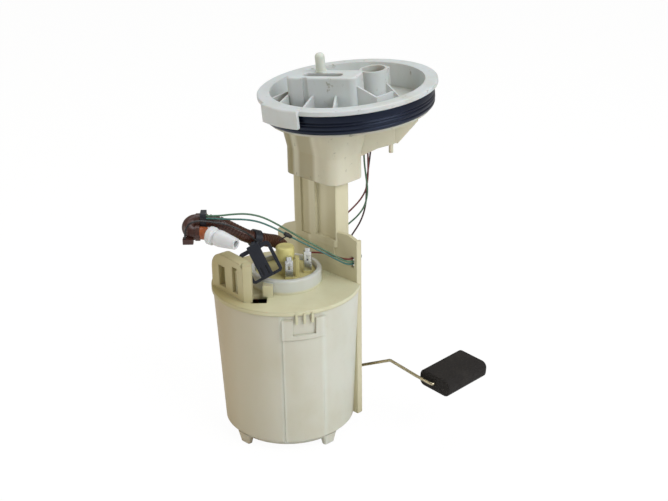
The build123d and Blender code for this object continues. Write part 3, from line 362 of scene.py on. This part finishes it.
moulded(
    "reservoir_acetal", (216, 218, 206), (190, 183, 152), rough=0.29, edge=0.0010, glow=0.06,
    warm=(226, 229, 220), deep=(166, 138, 76), along=(1.0, 0.0), span=0.130,
    shade_and_stain_stops=(
        (-60, 0.0), (-50, 0.22), (-38, 0.45), (-18, 0.6), (-5, 0.72), (-2.2, 0.98), (0.5, 0.76),
        (27, 0.8), (29.5, 1.0), (32, 0.86), (56, 0.9),
    ),
).paint("reservoir")
# The lid turns darker towards its left in painted shade; its collar keeps the plain colour.
moulded(
    "lid_acetal", (214, 217, 214), (190, 180, 136), rough=0.34, edge=0.0016, glow=0.05,
    where=off_collar, warm=(226, 224, 194), deep=(172, 156, 100), along=(1.0, 0.0), span=0.130,
    shade_and_stain_stops=((-60, 0.0), (-34, 0.4), (-12, 0.8), (30, 1.0)),
).paint("reservoir_lid")
rubber("valve_rubber", (24, 24, 24), (60, 58, 52)).paint("inlet_valve")

# ------------------------------------------------------------------------------------------
# Electric pump: a plated steel case in a rubber sleeve, crimped over aluminium and plastic end
# covers. Inside are the magnets, the armature on its two bearings, the brushes and the impeller.
# ------------------------------------------------------------------------------------------


def metal(name, bright, dull, rough=0.3, brushed=(1.0, 1.0, 1.0)):
    """Bare or plated metal: fine drawn lines, cloudy tarnish and painted shade in its corners."""
    finish = Finish(name, Metallic=1.0)
    lines = finish.noise(scale=900.0, detail=3.0, stretch=brushed)
    cloud = finish.noise(scale=70.0, detail=4.0)
    # Cloudy tarnish, and painted shade in the corners from the occlusion mask.
    share = finish.between(0.4, 0.75, 0.5 * lines + 0.5 * cloud) + 0.4 * finish.crevice(0.002)
    finish.give(
        Base_Color=finish.mixed(share, seen(*bright), seen(*dull)),
        Roughness=rough + 0.22 * lines - 0.08,
        Normal=finish.relief(lines, depth=0.00003, soft_edge=0.0002),
    )
    return finish


metal("plated_steel", (205, 206, 208), (150, 150, 148), brushed=(1.0, 1.0, 0.05)).paint("pump_casing")
rubber("sleeve_rubber", (30, 29, 27), (60, 57, 50)).paint("pump_sleeve")
moulded("cover_plastic", (206, 197, 140), (164, 150, 96), rough=0.34).paint("pump_top_cover")
moulded("cap_plastic", (236, 227, 154), (204, 191, 112), rough=0.30).paint("relief_valve_cap")
aluminium = metal("turned_aluminium", (214, 215, 216), (166, 166, 164))
aluminium.paint("pump_bottom_cover", "pump_chamber_plate")
bronze = metal("bearing_bronze", (176, 134, 84), (120, 88, 52), rough=0.45)
bronze.paint("lower_bearing", "upper_bearing")
metal("shaft_steel", (210, 210, 212), (160, 160, 160), rough=0.18).paint("armature_shaft")
metal("copper_bars", (196, 128, 86), (140, 84, 54), rough=0.35).paint("commutator")
stack = metal("laminations", (110, 108, 108), (66, 62, 60), brushed=(0.05, 0.05, 2.5), rough=0.45)
stack.paint("armature")
moulded("magnet_ferrite", (58, 58, 62), (36, 36, 38), rough=0.5).paint("magnets")
moulded("brush_carbon", (44, 44, 46), (26, 26, 28), rough=0.55).paint("brushes")
metal("spring_steel", (180, 180, 182), (120, 120, 120)).paint("brush_springs")
moulded("impeller_phenolic", (86, 58, 38), (60, 40, 28), rough=0.45).paint("impeller")

# ------------------------------------------------------------------------------------------
# Suction strainer: a woven nylon sock under the pump, off-white and furred with fine dirt.
# ------------------------------------------------------------------------------------------
weave = Finish("strainer_weave")
threads = weave.node(
    "ShaderNodeTexBrick",
    {"offset": 0.5},
    {
        "Vector": weave.place, "Scale": 1600.0, "Color1": (1, 1, 1, 1), "Color2": (0.7, 0.7, 0.7, 1),
        "Mortar": (0, 0, 0, 1), "Mortar Size": 0.12,
    },
)
fur = weave.noise(scale=90.0, detail=4.0)
weave.give(
    Base_Color=weave.mixed(weave.between(0.35, 0.7, fur), seen(214, 212, 200), seen(158, 148, 122)),
    Roughness=0.75 + 0.2 * fur,
    Normal=weave.relief(Amount(weave, threads.outputs["Fac"]), depth=0.0002),
)
weave.paint("suction_strainer")

# ------------------------------------------------------------------------------------------
# Terminals: tinned blades in the pump's cover, with the folded spring clips of the harness on
# them, and the four tinned contacts of the flange's socket.
# ------------------------------------------------------------------------------------------
clip_tin = metal("tinned_clip", (228, 231, 236), (150, 152, 156), rough=0.20)
clip_tin.paint("terminal_clip_left", "terminal_clip_right")
blade_tin = metal("tinned_blade", (214, 208, 188), (160, 150, 124), rough=0.28)
blade_tin.paint("pump_terminals", "connector_pins")

# ------------------------------------------------------------------------------------------
# Hose: dark brown formed corrugated nylon from the pump to the U-bend, with an orange-brown
# end pushed into a white quick fitting.
# ------------------------------------------------------------------------------------------
rubber("hose_nylon", (74, 40, 31), (112, 74, 56), rough=0.34, coat=0.2).paint("outlet_hose")
rubber("elbow_nylon", (66, 36, 30), (106, 70, 54), rough=0.36, coat=0.2).paint("return_elbow")
rubber("hose_end_nylon", (176, 92, 48), (120, 62, 36), rough=0.36, coat=0.2).paint("hose_end")
moulded("white_fitting", (224, 226, 230), (190, 190, 184), rough=0.30, glow=0.1).paint("outlet_fitting")

# ------------------------------------------------------------------------------------------
# Clips: a black clip on the hose's free end that gathers the wires, and the blue-black buckle
# that hangs on the hose over the lid.
# ------------------------------------------------------------------------------------------
clip_nylon = moulded("clip_nylon", (33, 38, 50), (22, 25, 33), rough=0.38, edge=0.0003)
clip_nylon.paint("harness_clip", "hose_buckle")

# ------------------------------------------------------------------------------------------
# Level sender: a black housing on the back plate with a printed ceramic card, and the pale
# hub that turns on its pin and holds the arm.
# ------------------------------------------------------------------------------------------
moulded("sender_nylon", (46, 46, 48), (30, 30, 32), rough=0.42).paint("sender_housing")
card = Finish("printed_card")
tracks = card.node(
    "ShaderNodeTexWave", {"wave_type": "BANDS", "bands_direction": "Z"},
    {"Vector": card.place, "Scale": 260.0, "Distortion": 0.0},
)
card_share = card.between(0.45, 0.55, Amount(card, tracks.outputs["Fac"]))
card.give(
    Base_Color=card.mixed(card_share, seen(70, 112, 100), seen(186, 176, 140)),
    Roughness=0.5 - 0.2 * card_share,
    Normal=card.relief(card_share, depth=0.00004),
)
card.paint("resistor_card")
moulded("hub_acetal", (212, 210, 198), (180, 174, 150), rough=0.38).paint("wiper_hub")
metal("arm_wire", (196, 186, 160), (140, 128, 100), rough=0.24).paint("float_arm")

# ------------------------------------------------------------------------------------------
# Float: closed-cell nitrile foam, black-brown, with a fine open grain where its skin was cut.
# ------------------------------------------------------------------------------------------
foam = Finish("float_foam", IOR=1.45, Specular_IOR_Level=0.35)
cells = foam.node("ShaderNodeTexVoronoi", {"feature": "F1"}, {"Vector": foam.place, "Scale": 1300.0})
pores = Amount(foam, cells.outputs["Distance"])
wear = foam.noise(scale=45.0, detail=5.0)
foam.give(
    Base_Color=foam.mixed(foam.between(0.45, 0.8, wear), seen(34, 31, 30), seen(54, 50, 47)),
    Roughness=0.66 + 0.2 * wear,
    Normal=foam.relief(pores + 0.6 * wear, depth=0.00012, soft_edge=0.0008),
)
foam.paint("float")

# ------------------------------------------------------------------------------------------
# Wires: thin fuel-proof insulated leads from the flange's gland to the pump, the sender and
# the hose's free end. Each lies in its own slack curve.
# ------------------------------------------------------------------------------------------
wire_diameter = 0.0014
wires = {
    "pump_feed_wire": {
        "slot": "wire_red", "length": 0.201, "colours": ((112, 34, 34), (74, 26, 28)),
        "route": [
            (0.0660, 0.0590, 0.2440), (0.0660, 0.0590, 0.2220), (0.0665, 0.0600, 0.2030),
            (0.0665, 0.0598, 0.1900), (0.0650, 0.0600, 0.1780), (0.0600, 0.0600, 0.1690),
            (0.0530, 0.0595, 0.1615), (0.0450, 0.0560, 0.1550), (0.0395, 0.0490, 0.1500),
            (0.0385, 0.0400, 0.1470), (0.0499, 0.0197, 0.1452), (0.0569, 0.0127, 0.1452),
            (0.0585, 0.0069, 0.1452), (0.0569, 0.0011, 0.1452), (0.0491, -0.0067, 0.1452),
            (0.0400, -0.0032, 0.1464), (0.0300, -0.0030, 0.1505), (0.0204, -0.0030, 0.1505),
        ],
    },
    "signal_wire": {
        "slot": "wire_green", "length": 0.3, "colours": ((76, 116, 90), (48, 78, 62)),
        "route": [
            (0.0635, 0.0610, 0.2440), (0.0635, 0.0610, 0.2240), (0.0630, 0.0600, 0.2060),
            (0.0646, 0.0579, 0.1910), (0.0663, 0.0570, 0.1780), (0.0640, 0.0580, 0.1650),
            (0.0580, 0.0580, 0.1560), (0.0500, 0.0565, 0.1495), (0.0425, 0.0510, 0.1450),
            (0.0390, 0.0420, 0.1428), (0.0508, 0.0187, 0.1430), (0.0579, 0.0117, 0.1430),
            (0.0595, 0.0059, 0.1430), (0.0579, 0.0001, 0.1430), (0.0501, -0.0077, 0.1430),
            (0.0395, -0.0076, 0.1486), (0.0250, -0.0085, 0.1579), (0.0130, -0.0100, 0.1656),
            (-0.0010, -0.0125, 0.1760), (-0.0150, -0.0150, 0.1855), (-0.0270, -0.0175, 0.1895),
            (-0.0380, -0.0190, 0.1898), (-0.0485, -0.0195, 0.1888), (-0.0580, -0.0195, 0.1890),
        ],
    },
    "sender_wire": {
        "slot": "wire_brown", "length": 0.195, "colours": ((62, 34, 38), (40, 26, 30)),
        "route": [
            (0.0700, 0.0635, 0.2440), (0.0700, 0.0635, 0.2220), (0.0675, 0.0632, 0.2000),
            (0.0650, 0.0630, 0.1820), (0.0650, 0.0630, 0.1640), (0.0605, 0.0625, 0.1490),
            (0.0520, 0.0600, 0.1370), (0.0430, 0.0530, 0.1240), (0.0365, 0.0445, 0.1070),
            (0.0330, 0.0340, 0.0880), (0.0300, 0.0300, 0.0730), (0.0300, 0.0300, 0.0630),
        ],
    },
    "ground_wire": {
        "slot": "wire_teal", "length": 0.227, "colours": ((60, 112, 106), (40, 78, 76)),
        "route": [
            (0.0389, 0.0191, 0.0630), (0.0389, 0.0191, 0.0840), (0.0410, 0.0191, 0.1030),
            (0.0445, 0.0198, 0.1200), (0.0484, 0.0194, 0.1310), (0.0534, 0.0159, 0.1385),
            (0.0576, 0.0095, 0.1410), (0.0585, 0.0016, 0.1408), (0.0496, -0.0072, 0.1408),
            (0.0405, -0.0093, 0.1466), (0.0290, -0.0090, 0.1534), (0.0150, -0.0110, 0.1616),
            (0.0030, -0.0130, 0.1694), (-0.0080, -0.0145, 0.1767), (-0.0185, -0.0165, 0.1825),
            (-0.0290, -0.0190, 0.1855), (-0.0400, -0.0205, 0.1863), (-0.0490, -0.0208, 0.1872),
            (-0.0580, -0.0208, 0.1873),
        ],
    },
    "ground_lead": {
        "slot": "wire_black", "length": 0.071, "colours": ((24, 24, 28), (52, 50, 50)),
        "route": [
            (-0.0215, -0.0146, 0.1656), (-0.0250, -0.0180, 0.1720), (-0.0330, -0.0210, 0.1785),
            (-0.0430, -0.0224, 0.1830), (-0.0545, -0.0238, 0.1860), (-0.0650, -0.0268, 0.1882),
            (-0.0710, -0.0292, 0.1860), (-0.0736, -0.0302, 0.1805), (-0.0736, -0.0302, 0.1746),
        ],
    },
}


def lead(name, points, diameter):
    """Round wire on one smooth line through a route's points."""
    line = bpy.data.curves.new(name, "CURVE")
    line.dimensions = "3D"
    spline = line.splines.new("NURBS")
    spline.points.add(len(points) - 1)
    for control, point in zip(spline.points, points):
        control.co = (*point, 1.0)
    spline.order_u = 3
    spline.use_endpoint_u = True
    spline.resolution_u = 8
    line.bevel_depth = diameter / 2
    line.bevel_resolution = 4
    line.use_fill_caps = True
    piece = bpy.data.objects.new(name, line)
    bpy.context.collection.objects.link(piece)
    return piece


for node, wire in wires.items():
    piece = lead(node + "_lead", wire["route"], wire_diameter)
    rubber(node + "_insulation", *wire["colours"], rough=0.36, coat=0.3, grain=0.5).paint(piece)
    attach(piece, "module")
    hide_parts(node)

# ------------------------------------------------------------------------------------------
# Splice: a crimped and taped joint in the ground wire over the lid, with the tape's loose end.
# ------------------------------------------------------------------------------------------
splice_at = Vector((0.0030, -0.0130, 0.1694))
splice_along = Vector((-0.0110, -0.0015, 0.0073))
splice_turn = Matrix.Translation(splice_at) @ splice_along.to_track_quat("Z", "Y").to_matrix().to_4x4()
splice_outline = [
    (0.0004, -0.0036), (0.0010, -0.0034), (0.0016, -0.0022), (0.0014, -0.0010), (0.0018, 0.0002),
    (0.0015, 0.0016), (0.0016, 0.0028), (0.0009, 0.0036), (0.0004, 0.0037),
]
splice_facets = 20
tape_thickness = 0.0011
tape_route = [
    (0.0024, -0.0135, 0.1692), (0.0006, -0.0150, 0.1688), (-0.0016, -0.0158, 0.1678),
    (-0.0034, -0.0156, 0.1664),
]
splice = lathe("wire_splice", splice_outline, splice_facets, splice_turn)
tape_end = lead("splice_tape_end", tape_route, tape_thickness)
tape = rubber("splice_tape", (20, 18, 20), (48, 42, 40), rough=0.45)
tape.paint(splice, tape_end)
for piece in (splice, tape_end):
    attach(piece, "module")

# ------------------------------------------------------------------------------------------
# Floor, light and camera: a plain white table under soft studio boxes.
# ------------------------------------------------------------------------------------------
floor_reach = 6.0
floor_level = -0.0002
floor_corners = [(-floor_reach, -floor_reach), (floor_reach, -floor_reach)]
floor_corners += [(floor_reach, floor_reach), (-floor_reach, floor_reach)]
floor_mesh = bpy.data.meshes.new("floor")
floor_mesh.from_pydata([(x, y, floor_level) for x, y in floor_corners], [], [(0, 1, 2, 3)])
floor = bpy.data.objects.new("floor", floor_mesh)
bpy.context.collection.objects.link(floor)

plain_white = (1.0, 1.0, 1.0, 1.0)
table_white = (0.86, 0.86, 0.86, 1.0)
glow_strength = 1.03
glow_share = 0.93
table = Finish("white_table", Base_Color=table_white, Roughness=0.9, Specular_IOR_Level=0.0)
table_ray = table.node("ShaderNodeLightPath")
table_glow = table.node("ShaderNodeEmission", sockets={"Color": plain_white, "Strength": glow_strength})
shown = table.node(
    "ShaderNodeMixShader",
    sockets={
        0: glow_share * Amount(table, table_ray.outputs["Is Camera Ray"]),
        1: table.surface.outputs[0],
        2: table_glow.outputs[0],
    },
)
table.feed(table.tree.nodes["Material Output"].inputs["Surface"], shown.outputs[0])
table.paint(floor)

# The room is warm and dim where it lights the module, and white where it is looked at.
fill_tint = (1.0, 0.95, 0.84, 1.0)
fill_strength = 0.36
world = bpy.data.worlds.new("studio")
bpy.context.scene.world = world
world.use_nodes = True
sky = Shader(world.node_tree)
sky_ray = sky.node("ShaderNodeLightPath")
looked_at = sky.node(
    "ShaderNodeMath",
    {"operation": "MAXIMUM"},
    {0: sky_ray.outputs["Is Camera Ray"], 1: sky_ray.outputs["Is Transmission Ray"]},
).outputs[0]
tint = sky.node("ShaderNodeMix", {"data_type": "RGBA"}, {0: looked_at, 6: fill_tint, 7: plain_white})
strength = sky.node("ShaderNodeMix", sockets={0: looked_at, 2: fill_strength, 3: 1.0})
background = sky.tree.nodes["Background"]
sky.feed(background.inputs["Color"], tint.outputs[2])
sky.feed(background.inputs["Strength"], strength.outputs[0])


def softbox(name, place, aim, width, power, tint):
    """Square area lamp that looks at a point."""
    lamp = bpy.data.lights.new(name, "AREA")
    lamp.size = width
    lamp.energy = power
    lamp.color = tint
    holder = bpy.data.objects.new(name, lamp)
    holder.location = place
    holder.rotation_euler = (Vector(aim) - Vector(place)).to_track_quat("-Z", "Y").to_euler()
    bpy.context.collection.objects.link(holder)


softbox("key", (0.75, -0.65, 0.95), (0.02, 0.0, 0.14), width=0.8, power=9.6, tint=(0.94, 0.97, 1.0))
softbox("top", (0.10, 0.35, 1.30), (0.03, 0.02, 0.2), width=0.9, power=5.5, tint=(0.90, 0.95, 1.0))
softbox("side", (-1.00, -0.10, 0.40), (0.0, 0.0, 0.10), width=0.5, power=2.0, tint=(1.0, 0.95, 0.86))

# The camera stands in front of the module and looks 23.5 degrees down.
camera_at = Vector((0.037975, -0.917442, 0.548461))
camera_right = Vector((0.99988527, -0.00602731, -0.01389667))
camera_up = Vector((0.01514747, 0.39786273, 0.9173199))
camera_back = camera_right.cross(camera_up)
lens = bpy.data.cameras.new("camera")
lens.sensor_fit = "HORIZONTAL"
lens.sensor_width = 36.0
lens.lens = 69.21
camera = bpy.data.objects.new("camera", lens)
camera.matrix_world = Matrix.Translation(camera_at) @ Matrix(
    (camera_right, camera_up, camera_back)
).transposed().to_4x4()
bpy.context.collection.objects.link(camera)
bpy.context.scene.camera = camera
bpy.context.scene.view_settings.view_transform = "Standard"
